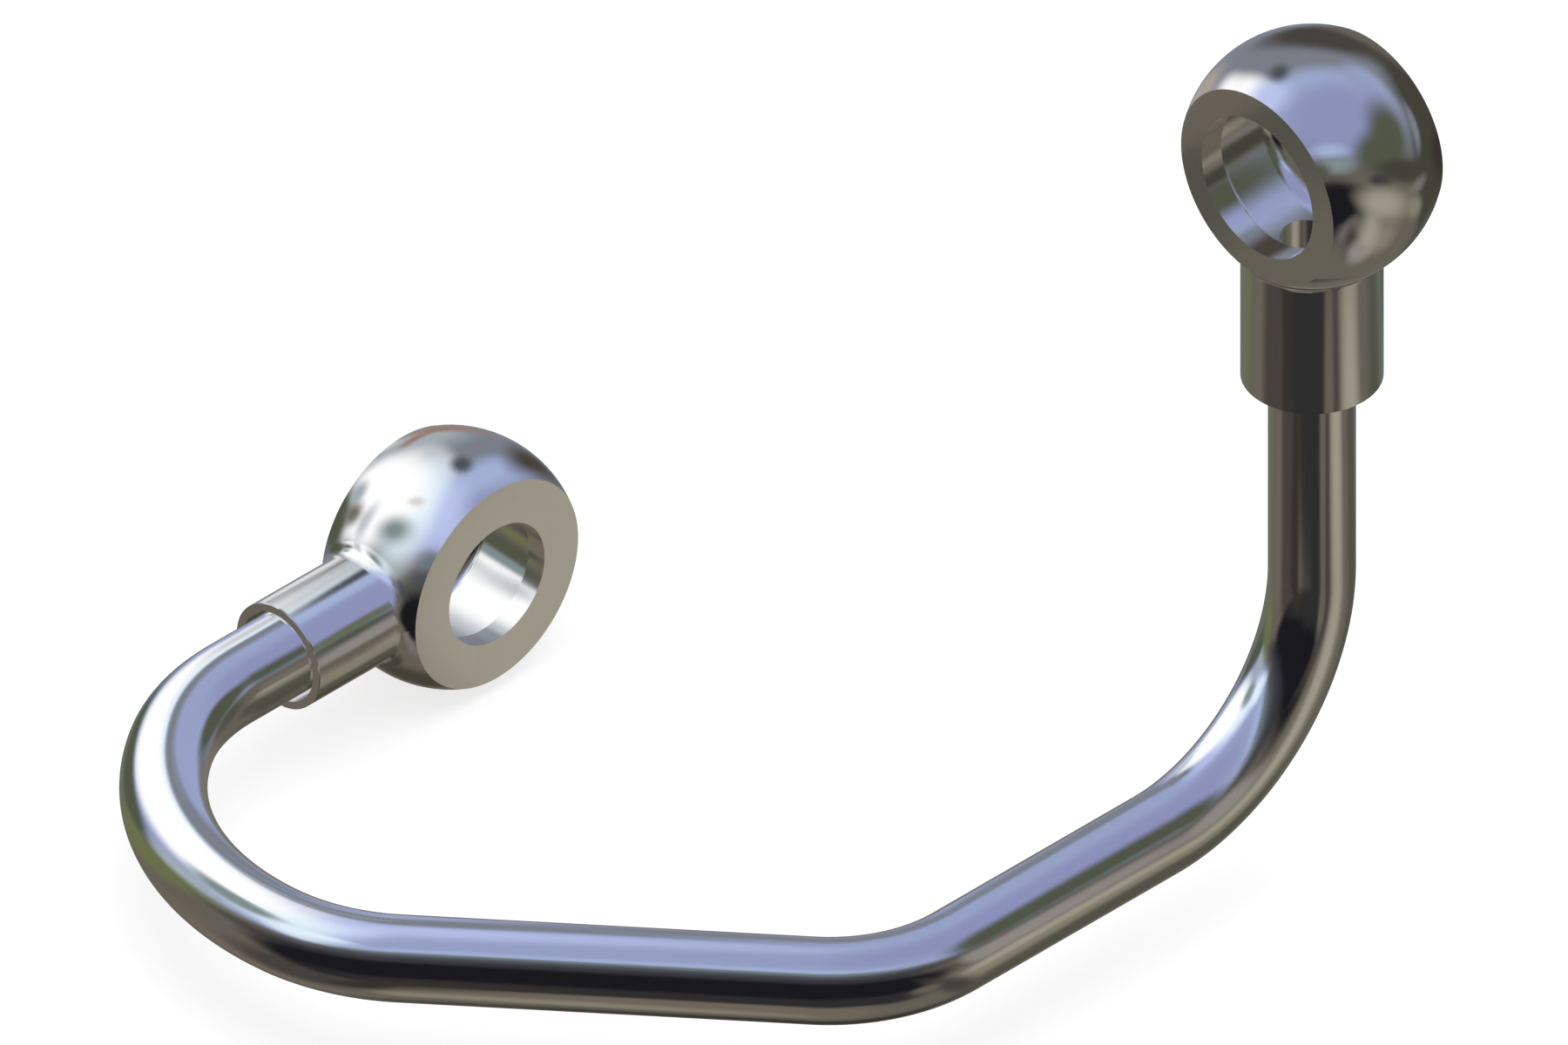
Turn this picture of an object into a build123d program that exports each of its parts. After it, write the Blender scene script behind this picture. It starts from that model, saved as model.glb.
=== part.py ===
from build123d import *
import os
from dataclasses import dataclass
from math import isclose, sqrt

os.makedirs("parts", exist_ok=True)

# A rigid fuel drain tube with a brazed banjo fitting on each end.
# Millimetres. The origin is the middle of the left fitting's bolt bore, +X runs along that
# bore, the left neck points to -Y and the tube's far end rises along +Z.

# The tube
TUBE_OD = 8.0
TUBE_WALL = 1.0
TUBE_END_CHAMFER = 0.25

# The tube's bends, in the order in which the bender makes them
LEFT_LEG = 28.0          # bore centre to the first bend
HOOK_ENTRY_R = 20.0      # the wide hook is one bend in three radii
HOOK_ENTRY_ANGLE = 31.5
HOOK_MIDDLE_R = 29.0
HOOK_MIDDLE_ANGLE = 63.6
HOOK_EXIT_R = 20.0
HOOK_EXIT_ANGLE = 34.6
LONG_RUN = 37.5
ELBOW_R = 16.0           # brings the tube back parallel to its left leg
SHORT_RUN = 25.7
RISER_R = 20.0           # quarter turn from the flat run to the upright
RISER_HEIGHT = 65.2      # flat run to the right bore's centre

# The two joints between a neck and the tube
CAPILLARY_GAP = 0.05     # radial gap that draws the molten filler in
RECESS_GAP = 0.5         # radial gap of the open ring at the neck's mouth
RECESS_DEPTH = 4.2
PILOT_LENGTH = 4.0       # how far the neck holds the tube closely
PASSAGE_D = 6.0          # fuel way from the tube's end to the bolt groove
BRAZE_HEIGHT = 1.1       # filler standing on the recess floor
BRAZE_SAG = 0.2          # how far its hollow top dips between the two walls

TUBE_R = TUBE_OD / 2
PILOT_R = TUBE_R + CAPILLARY_GAP
RECESS_R = TUBE_R + RECESS_GAP


@dataclass
class Banjo:
    """One fitting: a ball with two flats, bored across, on a round neck."""

    ball_d: float
    width: float           # across the two sealing faces
    bolt_d: float          # thread of the banjo bolt
    bolt_clearance: float
    land: float            # plain bore at each mouth, outside the groove
    groove_d: float
    groove_fillet: float
    neck_d: float
    neck_reach: float      # bore centre to the neck's mouth
    neck_fillet: float

    @property
    def bore_r(self):
        return (self.bolt_d + self.bolt_clearance) / 2

    @property
    def recess_floor(self):
        """Bore centre to the bottom of the open ring."""
        return self.neck_reach - RECESS_DEPTH

    @property
    def shoulder(self):
        """Bore centre to the step that stops the tube's end."""
        return self.recess_floor - PILOT_LENGTH


LEFT = Banjo(
    ball_d=24.0,
    width=12.0,
    bolt_d=12.0,
    bolt_clearance=0.2,
    land=2.0,
    groove_d=17.0,
    groove_fillet=0.8,
    neck_d=10.5,
    neck_reach=22.0,
    neck_fillet=2.0,
)

RIGHT = Banjo(
    ball_d=24.0,
    width=14.0,
    bolt_d=14.0,
    bolt_clearance=0.2,
    land=2.5,
    groove_d=19.0,
    groove_fillet=2.0,
    neck_d=13.0,
    neck_reach=24.0,
    neck_fillet=1.0,
)


def turned(profile, axis):
    """Revolves a profile drawn in X and Z."""
    return revolve(Plane.XZ * profile, axis=axis)


def drilled(radius, depth):
    """A hole's cylinder from the bore centre towards the neck, along -Z."""
    return Pos(Z=-depth) * Cylinder(radius, depth, align=(Align.CENTER, Align.CENTER, Align.MIN))


def ball_and_neck(b):
    """The turned outside: a ball, and the neck that flares into it."""
    ball_r = b.ball_d / 2
    neck_r = b.neck_d / 2
    # The flare is hollow: its circle touches the neck's side and the ball from outside.
    flare = Vector(neck_r + b.neck_fillet, 0)
    flare.Y = -sqrt((ball_r + b.neck_fillet) ** 2 - flare.X**2)
    on_ball = flare * (ball_r / (ball_r + b.neck_fillet))
    neck = make_face(
        Polyline(
            (0, 0),
            on_ball,
            flare,
            (neck_r, flare.Y),
            (neck_r, -b.neck_reach),
            (0, -b.neck_reach),
            close=True,
        )
    )
    neck -= Pos(flare) * Circle(b.neck_fillet)
    return Sphere(ball_r) + turned(neck, Axis.Z)


def bolt_cavity(b):
    """The bolt's bore along X, and the wide groove between its two lands."""
    groove = Pos(Y=b.groove_d / 4) * Rectangle(b.width - 2 * b.land, b.groove_d / 2)
    groove = fillet(groove.vertices().group_by(Axis.Y)[-1], b.groove_fillet)
    bore = Rot(Y=90) * Cylinder(b.bore_r, b.ball_d)
    return bore + turned(groove, Axis.X)


def banjo_fitting(b):
    """One machined piece, bolt bore along X and neck along -Z."""
    # One cut mills both sealing faces, across the ball and the flare alike.
    between_seats = Box(b.width, b.ball_d, 2 * b.neck_reach)
    body = ball_and_neck(b) & between_seats
    body -= bolt_cavity(b)
    body -= drilled(PASSAGE_D / 2, b.shoulder)
    socket = drilled(RECESS_R, b.neck_reach) - drilled(RECESS_R, b.recess_floor)
    socket += drilled(PILOT_R, b.recess_floor) - drilled(PILOT_R, b.shoulder)
    return body - socket


def braze_ring(b):
    """Filler on the recess floor, wetted up both walls round a hollow top."""
    middle = (TUBE_R + RECESS_R) / 2
    top = -b.recess_floor - BRAZE_HEIGHT
    outline = Polyline(
        (RECESS_R, top),
        (RECESS_R, -b.recess_floor),
        (TUBE_R, -b.recess_floor),
        (TUBE_R, top),
    )
    hollow = ThreePointArc((TUBE_R, top), (middle, top + BRAZE_SAG), (RECESS_R, top))
    return turned(make_face(outline + hollow), Axis.Z)


def centreline():
    """The bend table walked from the left shoulder to the right one."""
    line = Line((0, -LEFT.shoulder), (0, -LEFT_LEG))
    path = [line]
    for radius, angle in (
        (HOOK_ENTRY_R, HOOK_ENTRY_ANGLE),
        (HOOK_MIDDLE_R, HOOK_MIDDLE_ANGLE),
        (HOOK_EXIT_R, HOOK_EXIT_ANGLE),
    ):
        path.append(JernArc(path[-1] @ 1, path[-1] % 1, radius, angle))
    heading = path[-1] % 1
    path.append(Line(path[-1] @ 1, path[-1] @ 1 + heading * LONG_RUN))
    along_y = Vector(0, 1)
    path.append(JernArc(path[-1] @ 1, heading, ELBOW_R, heading.get_angle(along_y)))
    path.append(Line(path[-1] @ 1, path[-1] @ 1 + along_y * SHORT_RUN))
    foot = path[-1] @ 1
    path.append(TangentArc(foot, foot + Vector(0, RISER_R, RISER_R), tangent=along_y))
    upright = path[-1] @ 1
    path.append(Line(upright, Vector(upright.X, upright.Y, RISER_HEIGHT - RIGHT.shoulder)))
    return Wire(path)


def bent_tube(path):
    """One length of tube, its ends square and their outer edges broken."""
    section = Circle(TUBE_R) - Circle(TUBE_R - TUBE_WALL)
    tube = sweep(Plane(path @ 0, z_dir=path % 0) * section, path=path)
    circles = tube.edges().filter_by(GeomType.CIRCLE)
    outer = circles.filter_by(lambda edge: isclose(edge.radius, TUBE_R))
    rims = [outer.sort_by_distance(end)[0] for end in (path @ 0, path @ 1)]
    return chamfer(rims, TUBE_END_CHAMFER)


path = centreline()
top_end = path @ 1
# The left bore lies along X with its neck to -Y, the right bore along Y with its neck down.
left_place = Plane((0, 0, 0), x_dir=(1, 0, 0), z_dir=(0, 1, 0))
right_place = Plane((top_end.X, top_end.Y, RISER_HEIGHT), x_dir=(0, 1, 0), z_dir=(0, 0, 1))

nodes = {
    "left_banjo_fitting": left_place * banjo_fitting(LEFT),
    "right_banjo_fitting": right_place * banjo_fitting(RIGHT),
    "bent_tube": bent_tube(path),
    "left_braze_ring": left_place * braze_ring(LEFT),
    "right_braze_ring": right_place * braze_ring(RIGHT),
}
for name, solid in nodes.items():
    export_step(solid, f"parts/{name}.step")
    print(name, round(solid.volume, 1), solid.bounding_box())
print("right bore centre", right_place.origin)
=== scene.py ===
# %% [markdown]
# # A fuel drain tube, dressed for its picture
# The part is one steel tube bent in a flat hook and then upwards, with a ball-shaped banjo
# fitting brazed on each end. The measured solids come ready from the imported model, so this
# lesson adds what the solids lack: a tube with drawn marks that follow its bends, turned and
# milled finishes on the fittings, and a small studio whose cards show in the bright metal.

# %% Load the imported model
from math import cos, degrees, radians, sin, tan

import bmesh
import bpy
from mathutils import Matrix, Vector


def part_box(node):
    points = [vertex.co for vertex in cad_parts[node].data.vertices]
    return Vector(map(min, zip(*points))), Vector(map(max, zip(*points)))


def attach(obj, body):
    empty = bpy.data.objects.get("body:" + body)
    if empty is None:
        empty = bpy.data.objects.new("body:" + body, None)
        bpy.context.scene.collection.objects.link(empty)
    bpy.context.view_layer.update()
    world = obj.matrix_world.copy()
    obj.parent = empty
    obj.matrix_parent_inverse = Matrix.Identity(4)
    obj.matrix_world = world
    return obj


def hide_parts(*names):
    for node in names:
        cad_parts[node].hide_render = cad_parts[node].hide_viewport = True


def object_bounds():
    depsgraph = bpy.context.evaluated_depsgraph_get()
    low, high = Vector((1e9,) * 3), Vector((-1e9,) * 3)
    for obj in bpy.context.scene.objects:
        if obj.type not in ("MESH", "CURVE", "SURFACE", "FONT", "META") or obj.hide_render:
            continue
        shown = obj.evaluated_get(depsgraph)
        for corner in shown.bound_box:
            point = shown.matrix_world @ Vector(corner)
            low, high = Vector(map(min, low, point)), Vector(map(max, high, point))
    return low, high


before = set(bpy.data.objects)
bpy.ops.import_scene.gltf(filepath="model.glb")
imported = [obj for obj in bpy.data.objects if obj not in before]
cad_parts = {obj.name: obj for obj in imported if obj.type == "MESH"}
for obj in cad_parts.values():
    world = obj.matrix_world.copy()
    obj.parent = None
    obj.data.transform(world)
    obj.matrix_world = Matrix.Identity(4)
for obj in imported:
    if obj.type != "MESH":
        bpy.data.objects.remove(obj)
bpy.context.view_layer.update()
solids_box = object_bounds()
for name in sorted(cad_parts):
    low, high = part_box(name)
    print(name, [round(1000 * side, 1) for side in high - low], "mm")

# %% [markdown]
# ## Three small helpers
# Every finish below is a tree of nodes. The first helper adds a node and fills its inputs, each
# with a plain value or with another node's output. The second does one sum, and the third turns
# a span of numbers into another.


# %% Add a node, a sum and a ramp
def add(tree, kind, inputs=None, **settings):
    """A new node. A value in inputs is set, and an output in inputs is wired."""
    made = tree.nodes.new(kind)
    for name, value in settings.items():
        setattr(made, name, value)
    for key, value in (inputs or {}).items():
        if isinstance(value, bpy.types.NodeSocket):
            tree.links.new(value, made.inputs[key])
        else:
            made.inputs[key].default_value = value
    return made


def math(tree, operation, first, second=0.0, third=0.0):
    """One sum on plain numbers."""
    values = {0: first, 1: second, 2: third}
    return add(tree, "ShaderNodeMath", values, operation=operation).outputs[0]


def ramp(tree, value, low, high, to_low=0.0, to_high=1.0, smooth=True):
    """Turns a span of numbers into another, and stops at both ends."""
    kind = "SMOOTHSTEP" if smooth else "LINEAR"
    inputs = {"Value": value, 1: low, 2: high, 3: to_low, 4: to_high}
    return add(tree, "ShaderNodeMapRange", inputs, interpolation_type=kind).outputs["Result"]


# %% [markdown]
# ## The camera
# The photograph is a parallel projection that shows all three axes at the same angle, so the
# camera is orthographic and looks down one corner of a cube. Its three directions are written
# out, because the studio's cards are hung by them as well. A millimetre of the part covers 12.7
# pixels of the picture's width.

# %% Camera
MM = 0.001
PIXELS_PER_MM = 12.70
PICTURE_WIDTH = 1800    # pixels
CAMERA_DISTANCE = 0.6   # metres
right = Vector((1, 1, 0)).normalized()
up = Vector((-1, 1, 2)).normalized()
toward = Vector((1, -1, 1)).normalized()
aim = MM * (30.197 * right + 3.130 * up)    # the picture's middle, seen from the left bore


def placed(origin):
    """A frame at origin whose axes are the picture's right, up and towards the viewer."""
    turn = Matrix((right, up, toward)).transposed().to_4x4()
    return Matrix.Translation(origin) @ turn


camera = bpy.data.objects.new("camera", bpy.data.cameras.new("camera"))
camera.data.type = "ORTHO"
camera.data.ortho_scale = MM * PICTURE_WIDTH / PIXELS_PER_MM
camera.data.clip_start = 0.01
camera.data.clip_end = 5.0
camera.matrix_world = placed(aim + CAMERA_DISTANCE * toward)
bpy.context.scene.collection.objects.link(camera)
bpy.context.scene.camera = camera
bpy.context.scene.view_settings.view_transform = "Standard"
print("camera frame is", round(1000 * camera.data.ortho_scale, 2), "mm wide")

# %% [markdown]
# ## Floor and plain light
# The floor is a pale sheet that touches the lowest point of the left ball. Most of its white
# is a glow that only the camera sees, and the rest is ordinary paint, which keeps the part's
# soft shadow. The world and one wide lamp light it evenly. Both are kept out of the metal, which
# gets its own surroundings in the next step.

# %% Floor
FLOOR_REACH = 2.0       # metres each way
PAPER_TONE = (0.30, 0.30, 0.30, 1)      # share of the room's light that it sends back
PAPER_GLOW = 0.76       # what the camera sees on top of that
WHITE = (1, 1, 1, 1)
lowest = solids_box[0][2]
floor_mesh = bpy.data.meshes.new("floor")
corners = [(FLOOR_REACH * x, FLOOR_REACH * y, lowest) for x, y in ((-1, -1), (1, -1), (1, 1), (-1, 1))]
floor_mesh.from_pydata(corners, [], [(0, 1, 2, 3)])
floor = bpy.data.objects.new("floor", floor_mesh)
bpy.context.scene.collection.objects.link(floor)
floor.visible_glossy = False

paper = bpy.data.materials.new("pale_paper")
paper.use_nodes = True
tree = paper.node_tree
tree.nodes.clear()
seen = add(tree, "ShaderNodeLightPath").outputs["Is Camera Ray"]
paint = add(tree, "ShaderNodeBsdfDiffuse", {"Color": PAPER_TONE}).outputs[0]
level = math(tree, "MULTIPLY", seen, PAPER_GLOW)
glow = add(tree, "ShaderNodeEmission", {"Color": WHITE, "Strength": level})
both = add(tree, "ShaderNodeAddShader", {0: paint, 1: glow.outputs[0]})
add(tree, "ShaderNodeOutputMaterial", {"Surface": both.outputs[0]})
floor_mesh.materials.append(paper)
print("floor at", round(1000 * lowest, 2), "mm")

# %% World
ROOM_LIGHT = 0.75       # what the floor gets of it, while the camera sees plain white
world = bpy.data.worlds.new("room")
bpy.context.scene.world = world
world.use_nodes = True
world.cycles_visibility.glossy = False
tree = world.node_tree
tree.nodes.clear()
seen = add(tree, "ShaderNodeLightPath").outputs["Is Camera Ray"]
level = ramp(tree, seen, 0, 1, ROOM_LIGHT, 1.0, smooth=False)
sky = add(tree, "ShaderNodeBackground", {"Color": WHITE, "Strength": level})
add(tree, "ShaderNodeOutputWorld", {"Surface": sky.outputs[0]})
print("world sends", ROOM_LIGHT, "of full white")

# %% Lamp
LAMP_WIDTH = 0.7        # metres
LAMP_WATTS = 3.0
LAMP_AT = Vector((0.15, -0.10, 0.75))
LAMP_AIM = Vector((0.04, -0.01, 0.0))
lamp = bpy.data.objects.new("wide_lamp", bpy.data.lights.new("wide_lamp", "AREA"))
lamp.data.shape = "DISK"
lamp.data.size = LAMP_WIDTH
lamp.data.energy = LAMP_WATTS
lamp.visible_glossy = False
lamp.location = LAMP_AT
lamp.rotation_euler = (LAMP_AIM - lamp.location).to_track_quat("-Z", "Y").to_euler()
bpy.context.scene.collection.objects.link(lamp)
print("lamp is", round(lamp.location.length, 2), "m away")

# %% [markdown]
# ## Studio tents
# Bright metal has hardly any colour of its own: it shows what stands round it. So the part
# gets round tents of coloured cards with soft edges, seen by reflections alone. Each card is
# placed by its longitude and latitude in the picture's own directions: longitude 0 is towards
# the viewer and 90 to the right, and latitude 90 is up in the picture. A card is an ellipse,
# and later cards lie over earlier ones. All cards are cut from a few plain cloths. The cloths'
# round tones and the cards' places were picked with the render beside the photograph and
# readings of the photograph's tones to go by.

# %% One soft card as a node group
card = bpy.data.node_groups.new("soft_card", "ShaderNodeTree")
for name, kind in (
    ("Under", "NodeSocketColor"),
    ("Colour", "NodeSocketColor"),
    ("Direction", "NodeSocketVector"),
    ("Facing", "NodeSocketVector"),
    ("Across", "NodeSocketVector"),
    ("Upward", "NodeSocketVector"),
    ("Inner edge", "NodeSocketFloat"),
    ("Outer edge", "NodeSocketFloat"),
):
    card.interface.new_socket(name=name, in_out="INPUT", socket_type=kind)
card.interface.new_socket(name="Result", in_out="OUTPUT", socket_type="NodeSocketColor")
given = add(card, "NodeGroupInput").outputs


def dot(tree, a, b):
    """How far one direction reaches along another."""
    return add(tree, "ShaderNodeVectorMath", {0: a, 1: b}, operation="DOT_PRODUCT").outputs["Value"]


across = dot(card, given["Direction"], given["Across"])
upward = dot(card, given["Direction"], given["Upward"])
facing = dot(card, given["Direction"], given["Facing"])
squares = math(card, "MULTIPLY_ADD", across, across, math(card, "MULTIPLY", upward, upward))
spread = math(card, "SQRT", squares)
distance = math(card, "DIVIDE", math(card, "MULTIPLY", spread, 2.0), math(card, "ADD", facing, 1.0001))
share = ramp(card, distance, given["Inner edge"], given["Outer edge"], 1.0, 0.0)
layers = {"Factor": share, 6: given["Under"], 7: given["Colour"]}
laid = add(card, "ShaderNodeMix", layers, data_type="RGBA")
add(card, "NodeGroupOutput", {"Result": laid.outputs[2]})
print("soft_card has", len(card.nodes), "nodes")


# %% Hang one card
def linear(colour, gain=1.0):
    """An 8-bit screen colour as the light values that nodes work in."""
    parts = [value / 255 for value in colour]
    return [gain * (v / 12.92 if v <= 0.04045 else ((v + 0.055) / 1.055) ** 2.4) for v in parts] + [1]


def hang(tree, under, direction, colour, lon, lat, wide, high, tilt, soft):
    """Lays one card over what hangs already. Sizes are half angles in degrees."""
    lon, lat, tilt = radians(lon), radians(lat), radians(tilt)
    facing = Vector((cos(lat) * sin(lon), sin(lat), cos(lat) * cos(lon)))
    east = Vector((cos(lon), 0, -sin(lon)))
    north = facing.cross(east)
    across = (cos(tilt) * east + sin(tilt) * north) / (2 * tan(radians(wide) / 2))
    upward = (cos(tilt) * north - sin(tilt) * east) / (2 * tan(radians(high) / 2))
    inputs = {
        "Under": under,
        "Colour": colour,
        "Direction": direction,
        "Facing": facing,
        "Across": across,
        "Upward": upward,
        "Inner edge": 1 - soft,
        "Outer edge": 1 + soft,
    }
    return add(tree, "ShaderNodeGroup", inputs, node_tree=card).outputs["Result"]


# %% The plain cloths
CLOTHS = {
    "white": (255, 255, 255),
    "ice": (225, 240, 250),
    "chalk": (220, 215, 215),
    "pale grey": (190, 195, 200),
    "mist": (160, 170, 175),
    "grey": (120, 125, 135),
    "pale blue": (185, 195, 235),
    "blue": (160, 175, 210),
    "dusk blue": (150, 160, 195),
    "violet": (140, 145, 185),
    "sage": (125, 140, 140),
    "teal": (105, 115, 120),
    "slate": (75, 80, 85),
    "green": (105, 110, 75),
    "moss": (100, 105, 90),
    "olive": (80, 85, 70),
    "dark olive": (65, 65, 55),
    "pink stone": (165, 155, 150),
    "bright sand": (155, 150, 135),
    "stone": (140, 135, 130),
    "sand": (130, 125, 110),
    "clay": (145, 120, 110),
    "warm grey": (115, 110, 105),
    "dull sand": (110, 100, 90),
    "earth": (100, 95, 85),
    "umber": (80, 80, 70),
    "dark umber": (70, 65, 60),
    "brown": (55, 50, 45),
    "charcoal": (55, 55, 60),
    "soot": (45, 45, 45),
    "black": (25, 25, 30),
}
print(len(CLOTHS), "plain cloths")

# %% Cloth with its cards
METAL_RETURN = 0.80     # share of the light that the bright steel sends back


def cloth(name, upper, lower, cards):
    """A glowing sheet that shows the cards. Returns it with its tree and its light."""
    sheet = bpy.data.materials.new(name)
    sheet.use_nodes = True
    tree = sheet.node_tree
    tree.nodes.clear()
    place = add(tree, "ShaderNodeTexCoord").outputs["Object"]
    direction = add(tree, "ShaderNodeVectorMath", {0: place}, operation="NORMALIZE").outputs["Vector"]
    height = add(tree, "ShaderNodeSeparateXYZ", {0: direction}).outputs["Y"]
    gain = 1 / METAL_RETURN
    below, above = (linear(CLOTHS[half], gain) for half in (lower, upper))
    halves = {"Factor": ramp(tree, height, -0.1, 0.1), 6: below, 7: above}
    shown = add(tree, "ShaderNodeMix", halves, data_type="RGBA").outputs[2]
    for kind, *where in cards:
        shown = hang(tree, shown, direction, linear(CLOTHS[kind], gain), *where)
    print(name, "has", len(cards), "cards")
    return sheet, tree, add(tree, "ShaderNodeEmission", {"Color": shown}).outputs[0]


# %% Pitch a tent
def pitch(name, mesh_data, centre, sheets):
    """Sets a tent up in the picture's directions, and hides it from all but reflections."""
    mesh = bpy.data.meshes.new(name)
    mesh_data.to_mesh(mesh)
    mesh_data.free()
    for sheet in sheets:
        mesh.materials.append(sheet)
    tent = bpy.data.objects.new(name, mesh)
    bpy.context.scene.collection.objects.link(tent)
    tent.matrix_world = placed(centre)
    for rays in ("camera", "diffuse", "transmission", "volume_scatter", "shadow"):
        setattr(tent, "visible_" + rays, False)
    print(name, "of", len(mesh.polygons), "facets")


# %% [markdown]
# ## The large tent
# One tent stands round the whole part. The tube shows it all along its length: a pale blue
# upper half, a dark band low in front, and sand colours below.

# %% Cards of the large tent
LARGE_UPPER = "dusk blue"
LARGE_LOWER = "earth"
LARGE_CARDS = (
    ("dull sand", 0, -90, 17, 17, 0, 0.35),
    ("sand", -135, -76, 9, 7, 0, 0.6),
    ("dull sand", -130, -42, 22, 16, 0, 0.6),
    ("pale blue", -49, 44, 18, 40, 0, 0.6),
    ("ice", -61, 34, 20, 23, 0, 0.6),
    ("white", -110, 46, 38, 26, 0, 0.3),
    ("ice", -154, 62, 8, 10, 0, 0.6),
    ("pale grey", -157, 45, 6, 9, 0, 0.7),
    ("violet", 56, 40, 46, 26, 0, 0.6),
    ("grey", 179, 42, 6, 22, 0, 0.6),
    ("grey", -168, 62, 5, 16, 0, 0.6),
    ("grey", -150, 71, 5, 12, -30, 0.6),
    ("warm grey", 178, 4, 22, 14, 0, 0.5),
    ("olive", 118, 14, 40, 15, -6, 0.35),
    ("olive", 69, 11, 15, 15, 0, 0.6),
    ("olive", -130, 7, 25, 12, -8, 0.4),
    ("mist", -91, 5, 14, 8, 8, 0.7),
    ("green", -112, -6, 36, 7, 6, 0.5),
    ("moss", -160, -1, 22, 9, 0, 0.5),
    ("sage", -70, 23, 14, 9, 0, 0.5),
    ("ice", -46, 10, 14, 11, 0, 0.5),
    ("blue", -6, 5, 34, 7, 0, 0.6),
    ("teal", 2, -2, 36, 5, 0, 0.6),
    ("slate", 0, -10, 54, 6, 0, 0.6),
    ("charcoal", -14, -21, 64, 10, 0, 0.5),
    ("dark umber", -92, -49, 24, 15, 0, 0.5),
    ("black", -8, -46, 60, 25, 0, 0.2),
    ("soot", -2, -65, 40, 8.5, 0, 0.4),
    ("soot", 42, -60, 18, 8, 0, 0.5),
    ("brown", -66, -66, 18, 7, 0, 0.6),
    ("stone", 76, -15, 14, 7, -30, 0.5),
    ("sand", 98, -32, 19, 9, 0, 0.6),
    ("umber", 132, -33, 17, 10, 0, 0.5),
    ("bright sand", 91, -29, 10, 5, 25, 0.7),
    ("umber", 128, -9, 22, 7, 0, 0.6),
    ("brown", 172, -48, 20, 14, 0, 0.6),
    ("umber", -170, -28, 18, 12, 0, 0.6),
    ("dark umber", 88, -46, 32, 5, -14, 0.6),
    ("earth", 65, -47, 6, 5, 0, 0.6),
)

# %% Pitch the large tent
LARGE_TENT_R = 190.0    # millimetres, and its middle is given from the left bore
LARGE_TENT_AT = 25 * right + 5 * up + 40 * toward
sheet, tree, light = cloth("large_tent_cards", LARGE_UPPER, LARGE_LOWER, LARGE_CARDS)
add(tree, "ShaderNodeOutputMaterial", {"Surface": light})
ball = bmesh.new()
bmesh.ops.create_icosphere(ball, subdivisions=5, radius=MM * LARGE_TENT_R)
pitch("large_tent", ball, MM * LARGE_TENT_AT, [sheet])

# %% [markdown]
# ## Two small tents
# A ball gathers nearly all directions in a small picture, and the two balls stand far apart,
# so each fitting gets a tent of its own. It glows on the inside only. Light that has come
# through its wall from outside passes on to the large tent, so the tube never shows it. The
# floor closes round the neck with a collar of clear film. What leaves the neck crosses the
# film first, so a long collar shows the large tent in the neck too.


# %% Cloth that glows inwards, and clear film
def one_way(tree, light):
    """Glows for what starts inside, and lets through all that comes from outside."""
    outside = add(tree, "ShaderNodeNewGeometry").outputs["Backfacing"]
    crossed = add(tree, "ShaderNodeLightPath").outputs["Transparent Depth"]
    gone = math(tree, "MAXIMUM", outside, math(tree, "MINIMUM", crossed, 1.0))
    clear = add(tree, "ShaderNodeBsdfTransparent").outputs[0]
    shown = add(tree, "ShaderNodeMixShader", {0: gone, 1: light, 2: clear}).outputs[0]
    add(tree, "ShaderNodeOutputMaterial", {"Surface": shown})


film = bpy.data.materials.new("clear_film")
film.use_nodes = True
film.node_tree.nodes.clear()
clear = add(film.node_tree, "ShaderNodeBsdfTransparent").outputs[0]
add(film.node_tree, "ShaderNodeOutputMaterial", {"Surface": clear})
print("clear_film has", len(film.node_tree.nodes), "nodes")

# %% A small tent
SMALL_TENT_R = 60.0     # millimetres


def small_tent(name, centre, axis, floor, collar_r, collar_top, cards):
    """A ball of cloth round centre, cut by a floor, whose collar rises round the neck.

    floor and collar_top are distances from centre along axis, down the neck, in millimetres.
    """
    sheet, tree, light = cloth(name + "_cards", *cards)
    one_way(tree, light)
    down = Vector((right.dot(axis), up.dot(axis), toward.dot(axis))).normalized()
    on_axis = MM * floor * down
    mesh = bmesh.new()
    bmesh.ops.create_icosphere(mesh, subdivisions=5, radius=MM * SMALL_TENT_R)
    everything = mesh.verts[:] + mesh.edges[:] + mesh.faces[:]
    bmesh.ops.bisect_plane(mesh, geom=everything, plane_co=on_axis, plane_no=down, clear_outer=True)

    def next_ring():
        """Grows a ring of faces from the open rim. Returns its new points and its faces."""
        rim = [edge for edge in mesh.edges if edge.is_boundary]
        made = bmesh.ops.extrude_edge_only(mesh, edges=rim)["geom"]
        verts = [item for item in made if isinstance(item, bmesh.types.BMVert)]
        return verts, [item for item in made if isinstance(item, bmesh.types.BMFace)]

    for vert in next_ring()[0]:
        vert.co = on_axis + (vert.co - on_axis).normalized() * MM * collar_r
    verts, clear_faces = next_ring()
    for vert in verts:
        vert.co -= MM * (floor - collar_top) * down
    opening = [edge for edge in mesh.edges if edge.is_boundary]
    clear_faces += bmesh.ops.contextual_create(mesh, geom=opening)["faces"]
    for face in clear_faces:
        face.material_index = 1
    bmesh.ops.recalc_face_normals(mesh, faces=mesh.faces)
    bmesh.ops.reverse_faces(mesh, faces=mesh.faces)
    pitch(name, mesh, centre, [sheet, film])


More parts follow.
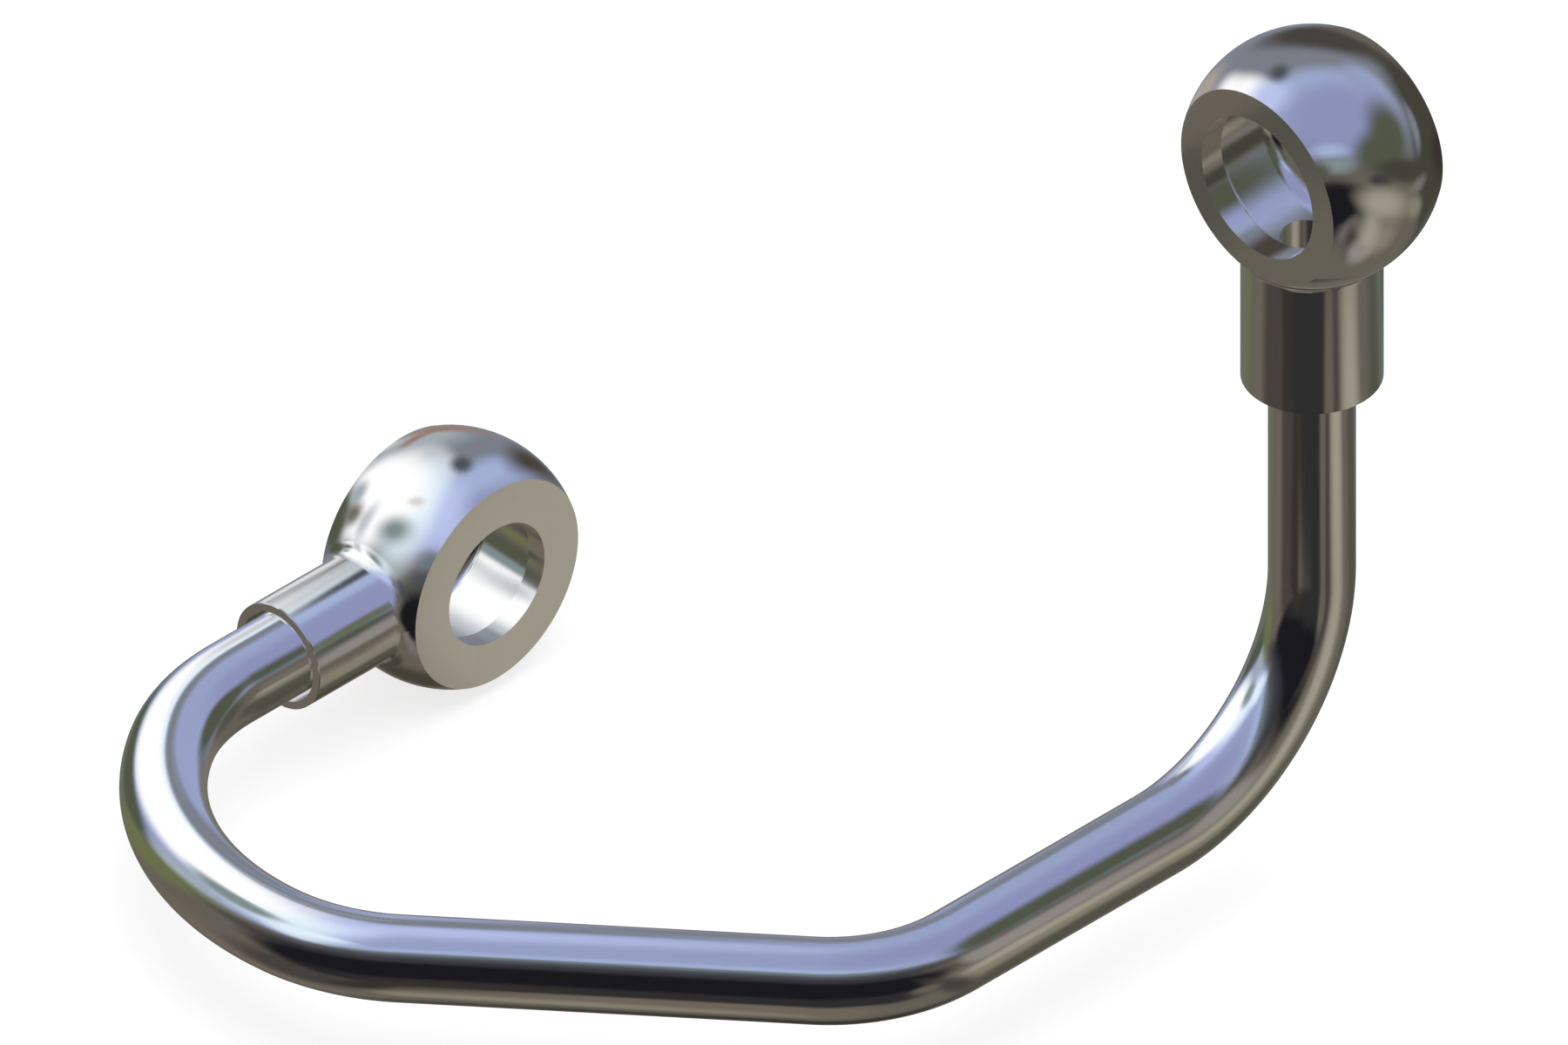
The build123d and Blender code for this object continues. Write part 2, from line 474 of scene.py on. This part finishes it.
# %% Cards of the left tent
LEFT_UPPER = "grey"
LEFT_LOWER = "earth"
LEFT_CARDS = (
    ("warm grey", 0, -78, 26, 13, 0, 0.5),
    ("mist", -162, 48, 16, 24, 0, 0.6),
    ("clay", -160, 50, 14, 3, 30, 0.8),
    ("violet", 52, 34, 60, 38, 0, 0.4),
    ("blue", 64, 64, 34, 10, 0, 0.7),
    ("pale blue", -12, 38, 20, 38, 0, 0.6),
    ("pale grey", -80, 78, 24, 13, 0, 0.5),
    ("ice", -36, 38, 18, 42, 0, 0.5),
    ("white", -80, 42, 38, 32, 0, 0.35),
    ("white", -64, 24, 24, 16, 0, 0.5),
    ("chalk", -151, 32, 7, 10, 0, 0.6),
    ("clay", -178, 38, 12, 9, 0, 0.7),
    ("olive", -118, 17, 18, 15, 0, 0.5),
    ("warm grey", -96, 24, 12, 7, 0, 0.7),
    ("mist", -108, 34, 8, 6, 0, 0.7),
    ("pale grey", -73, 22, 6, 11, 0, 0.8),
    ("sage", -42, 18, 12, 9, 0, 0.8),
    ("chalk", -34, 43, 6, 4, 0, 0.6),
    ("slate", 40, 79, 6, 8.5, -42, 0.7),
    ("dark umber", 142, 36, 26, 8, -48, 0.8),
    ("teal", -12, -3, 9, 7, 0, 0.8),
    ("slate", -16, -16, 12, 7, 0, 0.7),
    ("moss", 58, 4, 7, 8, 0, 0.5),
    ("olive", 63, -6, 6, 5, 0, 0.5),
    ("stone", 74, -20, 9, 9, 0, 0.5),
    ("bright sand", 112, -26, 15, 17, 0, 0.4),
    ("sand", 108, -46, 18, 7, 0, 0.6),
    ("umber", 150, -43, 12, 9, 0, 0.5),
    ("dark olive", 168, -36, 8, 8, 0, 0.5),
    ("dark olive", -165, -45, 16, 18, 0, 0.5),
    ("dull sand", -126, -32, 16, 10, 0, 0.6),
    ("dark umber", -110, -26, 5, 4, 0, 0.8),
    ("olive", -92, -6, 14, 8, -30, 0.5),
    ("green", -102, -19, 7, 4, -30, 0.7),
    ("sage", -86, 6, 10, 4, 0, 0.7),
    ("black", -4, -46, 46, 24, 0, 0.3),
)

# %% Pitch the left tent with a short collar
left_bore = Vector((0, 0, 0))
left_neck_down = Vector((0, -1, 0))
left_look = (LEFT_UPPER, LEFT_LOWER, LEFT_CARDS)
left_cut = {"floor": 21.9, "collar_r": 5.5, "collar_top": 21.8}
small_tent("left_tent", left_bore, left_neck_down, cards=left_look, **left_cut)

# %% Cards of the right tent
RIGHT_UPPER = "grey"
RIGHT_LOWER = "earth"
RIGHT_CARDS = (
    ("dark olive", 132, 10, 42, 42, 0, 0.25),
    ("grey", 108, 66, 26, 7, 0, 0.8),
    ("dark umber", 168, 58, 26, 23, 0, 0.4),
    ("earth", 158, 34, 14, 12, 0, 0.7),
    ("blue", 10, 46, 64, 28, 0, 0.4),
    ("dusk blue", 74, 52, 11, 16, 0, 0.6),
    ("violet", 22, 30, 44, 32, 0, 0.5),
    ("white", -72, 46, 20, 9, 0, 0.7),
    ("white", -98, 38, 14, 8, 0, 0.8),
    ("pale blue", -48, 46, 14, 12, 0, 0.8),
    ("slate", -58, 65, 8, 6, -31, 0.8),
    ("pink stone", -140, 20, 20, 10, 35, 0.6),
    ("olive", 66, 12, 18, 25, 0, 0.5),
    ("olive", 50, 2, 15, 14, 0, 0.6),
    ("grey", 98, 16, 4, 13, 0, 0.6),
    ("dark olive", 80, -9, 25, 7, 0, 0.5),
    ("blue", 14, 4, 13, 5, 0, 0.7),
    ("sage", 20, -7, 12, 6, 0, 0.7),
    ("olive", 4, -12, 9, 6, 0, 0.7),
    ("soot", 24, -28, 22, 6, 0, 0.6),
    ("charcoal", 60, -17, 10, 4, 0, 0.6),
    ("black", 18, -46, 24, 26, 0, 0.35),
    ("earth", 104, -34, 34, 9, -12, 0.6),
    ("bright sand", 70, -32, 22, 9, 0, 0.7),
    ("sand", 108, -25, 9, 5, 0, 0.7),
    ("warm grey", 50, -57, 6, 10, 0, 0.7),
    ("dark umber", 62, -62, 12, 5, -48, 0.8),
    ("sand", 96, -50, 10, 9, 0, 0.8),
    ("bright sand", 78, -54, 16, 7, -50, 0.8),
    ("stone", 90, -65, 8, 5, 0, 0.8),
    ("warm grey", 103, -15, 9, 4, 28, 0.7),
    ("brown", 138, 2, 18, 8, 0, 0.6),
    ("umber", 150, -21, 12, 8, 0, 0.6),
    ("umber", -104, -24, 22, 12, 0, 0.7),
    ("earth", -112, -46, 20, 12, 0, 0.6),
)

# %% Pitch the right tent with a long collar
right_bore = MM * Vector((75.8814, 34.3143, 65.2))    # as in the record's mounts
right_neck_down = Vector((0, 0, -1))
right_look = (RIGHT_UPPER, RIGHT_LOWER, RIGHT_CARDS)
right_cut = {"floor": 23.9, "collar_r": 6.7, "collar_top": 10.0}
small_tent("right_tent", right_bore, right_neck_down, cards=right_look, **right_cut)

# %% [markdown]
# ## Steel finishes
# Every piece is bright steel, and what tells the surfaces apart is the tool that made them.
# Plating keeps all of them shiny, so the marks are faint: a little more or less sheen, and a
# slight relief.


# %% Start a metal
def metal(name, colour):
    """A bare metallic material with its shader and nothing wired yet."""
    material = bpy.data.materials.new(name)
    material.use_nodes = True
    tree = material.node_tree
    tree.nodes.clear()
    shader = add(tree, "ShaderNodeBsdfPrincipled", {"Base Color": (*colour, 1), "Metallic": 1.0})
    add(tree, "ShaderNodeOutputMaterial", {"Surface": shader.outputs[0]})
    return material, tree, shader


# %% Marks that every steel surface has
HAIR = (2600, 2600, 110)        # hairlines to the metre across, and along them


def smudges(tree, place, per_metre):
    """Cloudy patches where the part was handled."""
    inputs = {"Vector": place, "Scale": per_metre, "Detail": 3.0, "Roughness": 0.55}
    return add(tree, "ShaderNodeTexNoise", inputs).outputs[0]


def scratches(tree, place, turned_by):
    """Sparse hairlines that run one way. One on each line and nought between them."""
    stretch = {"Vector": place, "Rotation": turned_by, "Scale": HAIR}
    across = add(tree, "ShaderNodeMapping", stretch).outputs[0]
    hair = add(tree, "ShaderNodeTexNoise", {"Vector": across, "Scale": 1.0, "Detail": 1.0}).outputs[0]
    return ramp(tree, hair, 0.70, 0.76)


# %% [markdown]
# ## Drawn tube
# A tube is pulled through a die, which leaves long faint lines. They have to follow the
# bends, so they read the "stock" attribute: the place of each point while the tube was still
# straight.

# %% Drawn tube steel
BRIGHT_TUBE = (0.80, 0.80, 0.81)
DRAWN_SHEEN = (0.060, 0.095)    # roughness of the brightest and of the dullest line
DRAWN_RELIEF = 0.00002          # metres, at a quarter of its strength
PULLED = (1600, 1600, 22)       # lines to the metre across the tube, and along it
drawn, tree, shader = metal("drawn_tube_steel", BRIGHT_TUBE)
stock = add(tree, "ShaderNodeAttribute", attribute_name="stock").outputs["Vector"]
stretch = {"Vector": stock, "Scale": PULLED}
pulled = add(tree, "ShaderNodeMapping", stretch).outputs[0]
drawing = {"Vector": pulled, "Scale": 1.0, "Detail": 4.0, "Roughness": 0.6}
lines = add(tree, "ShaderNodeTexNoise", drawing).outputs[0]
handled = smudges(tree, stock, per_metre=90.0)
one_way_hairs = scratches(tree, stock, (0.5, 0.2, 0.0))
other_way_hairs = scratches(tree, stock, (0.1, -0.7, 0.4))
hairs = math(tree, "MAXIMUM", one_way_hairs, other_way_hairs)
sheen = ramp(tree, lines, 0.3, 0.7, *DRAWN_SHEEN)
sheen = math(tree, "ADD", sheen, ramp(tree, handled, 0.45, 0.7, 0.0, 0.03))
sheen = math(tree, "MULTIPLY_ADD", hairs, 0.06, sheen)
tree.links.new(sheen, shader.inputs["Roughness"])
depth = math(tree, "MULTIPLY_ADD", hairs, -0.12, lines)
relief = add(tree, "ShaderNodeBump", {"Height": depth, "Strength": 0.25, "Distance": DRAWN_RELIEF})
tree.links.new(relief.outputs[0], shader.inputs["Normal"])
print("drawn_tube_steel has", len(tree.nodes), "nodes")

# %% [markdown]
# ## Turned, faced and bored
# A fitting is turned about its neck, so the ball and the neck carry rings round that line. Its
# two seats are faced and its bore is cut from the side, so they carry circles round the bore.
# The fuel way and the socket are drilled and duller. The shader works out which surface a
# point lies on from its distance to both lines.


# %% Fitting steel
SEAT_MARGIN = 0.02      # millimetres inside a seat's plane that still count as the seat
CAVITY_MARGIN = 0.1     # millimetres outside the groove that still count as bored
FUEL_WAY_TOP = 6.5      # millimetres from the bore's centre, down the neck
SOCKET_REACH = 4.6      # millimetres, a little over the socket's radius of 4.5
TURNED_SHEEN = (0.060, 0.090)   # roughness of the brightest and of the dullest ring
TURNED_RELIEF = 0.0000006       # metres
BRIGHT_FITTING = (0.80, 0.80, 0.80)


def fitting_steel(name, bore, along_bore, neck_down, width, groove_r):
    """Steel for one fitting, with each tool's marks round its own line."""
    material, tree, shader = metal(name, BRIGHT_FITTING)
    place = add(tree, "ShaderNodeTexCoord").outputs["Object"]
    from_bore = add(tree, "ShaderNodeVectorMath", {0: place, 1: bore}, operation="SUBTRACT").outputs[0]
    x = dot(tree, from_bore, along_bore)
    z = dot(tree, from_bore, -neck_down)
    y = dot(tree, from_bore, along_bore.cross(neck_down))

    def apart(a, b):
        """Distance from a line, from the two offsets across it."""
        return math(tree, "SQRT", math(tree, "MULTIPLY_ADD", a, a, math(tree, "MULTIPLY", b, b)))

    def marks(distance, per_metre):
        """Uneven rings that follow one another along distance."""
        turns = math(tree, "MULTIPLY", distance, per_metre)
        inputs = {"W": turns, "Scale": 1.0, "Detail": 2.0, "Roughness": 0.7}
        return add(tree, "ShaderNodeTexNoise", inputs, noise_dimensions="1D").outputs[0]

    def choose(where, without, inside):
        """The second value where the mask is one, and the first elsewhere."""
        inputs = {"Factor": where, 2: without, 3: inside}
        return add(tree, "ShaderNodeMix", inputs, data_type="FLOAT").outputs[0]

    from_axis = apart(y, z)
    off_middle = math(tree, "ABSOLUTE", x)
    seat = math(tree, "GREATER_THAN", off_middle, MM * (width / 2 - SEAT_MARGIN))
    cavity = math(tree, "LESS_THAN", from_axis, MM * (groove_r + CAVITY_MARGIN))
    below = math(tree, "LESS_THAN", z, MM * -FUEL_WAY_TOP)
    near_neck_line = math(tree, "LESS_THAN", apart(x, y), MM * SOCKET_REACH)
    drilled = math(tree, "MULTIPLY", near_neck_line, below)

    turned = marks(z, per_metre=5200.0)
    bored = marks(x, per_metre=6800.0)
    faced = marks(from_axis, per_metre=4300.0)
    rings = choose(seat, choose(cavity, turned, bored), faced)
    sheen = ramp(tree, rings, 0.3, 0.7, *TURNED_SHEEN)
    handled = smudges(tree, place, per_metre=120.0)
    sheen = math(tree, "ADD", sheen, ramp(tree, handled, 0.45, 0.7, 0.0, 0.03))
    one_way_hairs = scratches(tree, place, (0.4, 0.9, 0.0))
    other_way_hairs = scratches(tree, place, (1.3, 0.2, 0.6))
    hairs = math(tree, "MAXIMUM", one_way_hairs, other_way_hairs)
    sheen = math(tree, "MULTIPLY_ADD", hairs, 0.05, sheen)
    sheen = math(tree, "MULTIPLY_ADD", seat, 0.04, sheen)
    sheen = math(tree, "MULTIPLY_ADD", drilled, 0.10, sheen)
    tree.links.new(sheen, shader.inputs["Roughness"])
    depth = math(tree, "MULTIPLY_ADD", hairs, -0.6, rings)
    relief = add(tree, "ShaderNodeBump", {"Height": depth, "Strength": 1.0, "Distance": TURNED_RELIEF})
    tree.links.new(relief.outputs[0], shader.inputs["Normal"])
    print(name, "has", len(tree.nodes), "nodes")
    return material


# %% Finish both fittings
x_axis, y_axis, z_axis = Matrix.Identity(3)
left_steel = fitting_steel("left_fitting_steel", left_bore, x_axis, -y_axis, width=12.0, groove_r=8.5)
right_steel = fitting_steel("right_fitting_steel", right_bore, y_axis, -z_axis, width=14.0, groove_r=9.5)
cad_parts["left_banjo_fitting"].data.materials[0] = left_steel
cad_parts["right_banjo_fitting"].data.materials[0] = right_steel

# %% [markdown]
# ## Brazing filler
# The filler sits low in the open ring of each joint. It froze as it flowed, so it is a warmer
# metal with a soft, rippled skin, stained in places by burnt flux.

# %% Brazing filler
PALE_BRASS = (0.78, 0.66, 0.45)
BURNT_FLUX = (0.42, 0.33, 0.24)
filler, tree, shader = metal("braze_filler", PALE_BRASS)
place = add(tree, "ShaderNodeTexCoord").outputs["Object"]
ripple = add(tree, "ShaderNodeTexNoise", {"Vector": place, "Scale": 900.0, "Detail": 3.0}).outputs[0]
stain = ramp(tree, smudges(tree, place, per_metre=420.0), 0.5, 0.72)
tones = {"Factor": stain, 6: (*PALE_BRASS, 1), 7: (*BURNT_FLUX, 1)}
tone = add(tree, "ShaderNodeMix", tones, data_type="RGBA").outputs[2]
tree.links.new(tone, shader.inputs["Base Color"])
sheen = math(tree, "MULTIPLY_ADD", stain, 0.2, ramp(tree, ripple, 0.3, 0.7, 0.25, 0.40))
tree.links.new(sheen, shader.inputs["Roughness"])
relief = add(tree, "ShaderNodeBump", {"Height": ripple, "Strength": 0.5, "Distance": 0.00003})
tree.links.new(relief.outputs[0], shader.inputs["Normal"])
for name in ("left_braze_ring", "right_braze_ring"):
    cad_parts[name].data.materials[0] = filler
print("braze_filler has", len(tree.nodes), "nodes")

# %% [markdown]
# ## The bent tube
# The real tube starts as straight stock: cut square, its outer edges broken, and then bent
# cold over round formers. The same order works here. Geometry Nodes turns the straight stock
# and then lays every point of it along the centreline.

# %% Bend table
# Millimetres and degrees, and the hook's rows are radius and angle
TUBE_OD = 8.0
TUBE_WALL = 1.0
END_CHAMFER = 0.25
LEFT_SHOULDER = 13.8
LEFT_LEG = 28.0
HOOK = ((20.0, 31.5), (29.0, 63.6), (20.0, 34.6))
LONG_RUN = 37.5
ELBOW_R = 16.0
SHORT_RUN = 25.7
RISER_R = 20.0
UPRIGHT_TOP = 49.4
CURVE_STEP = 16.0       # about how far each Bezier piece bends


def bend_points():
    """Bezier points of the centreline, each with its place and its two handles."""
    points = []
    place, heading, plane_up = Vector((0, -LEFT_SHOULDER, 0)), Vector((0, -1, 0)), Vector((0, 0, 1))

    def run(length):
        """A straight length of tube."""
        nonlocal place
        points[-1][2] = heading * (length / 3)
        place = place + length * heading
        points.append([place.copy(), heading * (length / 3), heading * (length / 3)])

    def bend(radius, angle, axis):
        """An arc that turns round axis, in pieces of about CURVE_STEP degrees."""
        nonlocal place, heading
        steps = max(1, round(angle / CURVE_STEP))
        part = radians(angle / steps)
        arm = radius * 4 / 3 * tan(part / 4)
        for _ in range(steps):
            points[-1][2] = heading * arm
            side = axis.cross(heading)
            centre = place + radius * side
            turn = Matrix.Rotation(part, 3, axis)
            place = centre + turn @ (place - centre)
            heading = turn @ heading
            points.append([place.copy(), heading * arm, heading * arm])

    points.append([place.copy(), heading, heading])
    run(LEFT_LEG - LEFT_SHOULDER)
    for radius, angle in HOOK:
        bend(radius, angle, plane_up)
    run(LONG_RUN)
    bend(ELBOW_R, degrees(heading.angle(Vector((0, 1, 0)))), plane_up)
    run(SHORT_RUN)
    bend(RISER_R, 90.0, Vector((1, 0, 0)))
    run(UPRIGHT_TOP - place.z)
    return points


# %% Centreline
curve = bpy.data.curves.new("centreline", "CURVE")
curve.dimensions = "3D"
curve.resolution_u = 16
spline = curve.splines.new("BEZIER")
table = bend_points()
spline.bezier_points.add(len(table) - 1)
for point, (place, before, after) in zip(spline.bezier_points, table):
    point.handle_left_type = point.handle_right_type = "FREE"
    point.co = MM * place
    point.handle_left = MM * (place - before)
    point.handle_right = MM * (place + after)
centreline = bpy.data.objects.new("centreline", curve)
bpy.context.scene.collection.objects.link(centreline)
far_end_at = [round(v, 2) for v in table[-1][0]]
print("centreline of", round(1000 * spline.calc_length(), 2), "mm ends at", far_end_at)

# %% The tree that turns and bends the stock
SIDES = 72              # round the tube
ROW_LENGTH = 0.8        # millimetres from one ring of points to the next
bender = bpy.data.node_groups.new("turn_and_bend", "GeometryNodeTree")
for name, kind, value in (
    ("Geometry", "NodeSocketGeometry", None),
    ("Centreline", "NodeSocketObject", None),
    ("Outside diameter", "NodeSocketFloat", MM * TUBE_OD),
    ("Wall", "NodeSocketFloat", MM * TUBE_WALL),
    ("End chamfer", "NodeSocketFloat", MM * END_CHAMFER),
    ("Row length", "NodeSocketFloat", MM * ROW_LENGTH),
    ("Sides", "NodeSocketInt", SIDES),
    ("Finish", "NodeSocketMaterial", None),
):
    made = bender.interface.new_socket(name=name, in_out="INPUT", socket_type=kind)
    if value is not None:
        made.default_value = value
bender.interface.new_socket(name="Geometry", in_out="OUTPUT", socket_type="NodeSocketGeometry")
given = add(bender, "NodeGroupInput").outputs
line = add(bender, "GeometryNodeObjectInfo", {"Object": given["Centreline"]}).outputs["Geometry"]
length = add(bender, "GeometryNodeCurveLength", {"Curve": line}).outputs["Length"]
rows = math(bender, "DIVIDE", length, given["Row length"])
outer_r = math(bender, "MULTIPLY", given["Outside diameter"], 0.5)
inner_r = math(bender, "SUBTRACT", outer_r, given["Wall"])
rim_r = math(bender, "SUBTRACT", outer_r, given["End chamfer"])


def cone(rows, bottom, top, depth):
    """An open skin of revolution round Z, from height nought up."""
    inputs = {
        "Vertices": given["Sides"],
        "Side Segments": rows,
        "Radius Top": top,
        "Radius Bottom": bottom,
        "Depth": depth,
    }
    return add(bender, "GeometryNodeMeshCone", inputs, fill_type="NONE").outputs["Mesh"]


def moved(mesh, height, scale=(1, 1, 1)):
    """The mesh, stretched by scale and lifted by height."""
    lift = add(bender, "ShaderNodeCombineXYZ", {"Z": height}).outputs[0]
    inputs = {"Geometry": mesh, "Translation": lift, "Scale": scale}
    return add(bender, "GeometryNodeTransform", inputs).outputs["Geometry"]


def flipped(mesh):
    """The mesh, turned inside out."""
    return add(bender, "GeometryNodeFlipFaces", {"Mesh": mesh}).outputs["Mesh"]


# %% Straight stock
skin_depth = math(bender, "MULTIPLY_ADD", given["End chamfer"], -2.0, length)
skin = moved(cone(rows, outer_r, outer_r, skin_depth), given["End chamfer"])
way = flipped(cone(rows, inner_r, inner_r, length))
chamfer = cone(1, rim_r, outer_r, given["End chamfer"])
rim = cone(1, inner_r, rim_r, 0.0)
end = add(bender, "GeometryNodeJoinGeometry")
for mesh in (chamfer, rim):
    bender.links.new(mesh, end.inputs[0])
far_end = flipped(moved(end.outputs[0], length, (1, 1, -1)))
whole = add(bender, "GeometryNodeJoinGeometry")
for mesh in (skin, way, end.outputs[0], far_end):
    bender.links.new(mesh, whole.inputs[0])
WELD = 0.000005         # metres within which two points become one
inputs = {"Geometry": whole.outputs[0], "Distance": WELD}
closed = add(bender, "GeometryNodeMergeByDistance", inputs).outputs[0]
print("straight stock takes", len(bender.nodes), "nodes")

# %% Remember each point's place, then bend
position = add(bender, "GeometryNodeInputPosition").outputs[0]
kept = add(
    bender,
    "GeometryNodeStoreNamedAttribute",
    {"Geometry": closed, "Name": "stock", "Value": position},
    data_type="FLOAT_VECTOR",
    domain="POINT",
).outputs["Geometry"]
along = add(bender, "ShaderNodeSeparateXYZ", {0: position}).outputs
sample = add(
    bender,
    "GeometryNodeSampleCurve",
    {"Curves": line, "Length": along["Z"]},
    mode="LENGTH",
    use_all_curves=True,
).outputs


def vector(operation, first, second=(0, 0, 0), scale=1.0):
    """One sum on directions or places."""
    inputs = {0: first, 1: second} if operation != "SCALE" else {0: first, 3: scale}
    return add(bender, "ShaderNodeVectorMath", inputs, operation=operation).outputs[0]


side = vector("CROSS_PRODUCT", sample["Tangent"], sample["Normal"])
offset = vector(
    "ADD",
    vector("SCALE", sample["Normal"], scale=along["X"]),
    vector("SCALE", side, scale=along["Y"]),
)
bent_at = vector("ADD", sample["Position"], offset)
bent = add(bender, "GeometryNodeSetPosition", {"Geometry": kept, "Position": bent_at}).outputs["Geometry"]
print("with the bending it takes", len(bender.nodes), "nodes")

# %% Shade round walls smooth and keep the edges sharp
SHARP_FROM = 35         # degrees between two facets
angle = add(bender, "GeometryNodeInputMeshEdgeAngle").outputs["Unsigned Angle"]
shallow = {0: angle, 1: radians(SHARP_FROM)}
soft = add(bender, "FunctionNodeCompare", shallow, data_type="FLOAT", operation="LESS_THAN")
smooth = add(bender, "GeometryNodeSetShadeSmooth", {"Geometry": bent}, domain="FACE").outputs[0]
creased = add(
    bender,
    "GeometryNodeSetShadeSmooth",
    {"Geometry": smooth, "Shade Smooth": soft.outputs[0]},
    domain="EDGE",
).outputs[0]
real = add(bender, "GeometryNodeRealizeInstances", {"Geometry": creased}).outputs[0]
done = add(bender, "GeometryNodeSetMaterial", {"Geometry": real, "Material": given["Finish"]}).outputs[0]
add(bender, "NodeGroupOutput", {"Geometry": done})
print("turn_and_bend has", len(bender.nodes), "nodes")


# %% Bend the tube
def grown(name, tree, **values):
    """Runs a node tree on an empty mesh and returns a plain mesh object of the result."""
    seed = bpy.data.objects.new(name + "_seed", bpy.data.meshes.new(name + "_seed"))
    bpy.context.scene.collection.objects.link(seed)
    modifier = seed.modifiers.new("nodes", "NODES")
    modifier.node_group = tree
    for item in tree.interface.items_tree:
        if item.in_out == "INPUT" and item.name in values:
            modifier[item.identifier] = values[item.name]
    evaluated = seed.evaluated_get(bpy.context.evaluated_depsgraph_get())
    mesh = bpy.data.meshes.new_from_object(evaluated)
    mesh.name = name
    while mesh.materials[0] is None:
        mesh.materials.pop(index=0)
    made = bpy.data.objects.new(name, mesh)
    bpy.context.scene.collection.objects.link(made)
    seed.modifiers.clear()
    bpy.data.objects.remove(seed)
    return made


tube = grown("drawn_bent_tube", bender, Centreline=centreline, Finish=drawn)
bpy.data.objects.remove(centreline)
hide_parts("bent_tube")
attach(tube, "root")
print("tube of", len(tube.data.polygons), "faces,", [m.name for m in tube.data.materials])

# %% [markdown]
# ## Metal that shows the tents alone
# The bright parts would also mirror one another, which blots the tents' picture with dark
# patches. So every piece is hidden from reflections, and each still casts its shadow. This is
# a stage trick, and it leaves deep hollows a little brighter than real ones.

# %% Hide the pieces from reflections
cad_pieces = [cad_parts[name] for name in sorted(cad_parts) if name != "bent_tube"]
for piece in [tube] + cad_pieces:
    piece.visible_glossy = False
    print(piece.name, "is out of the reflections")
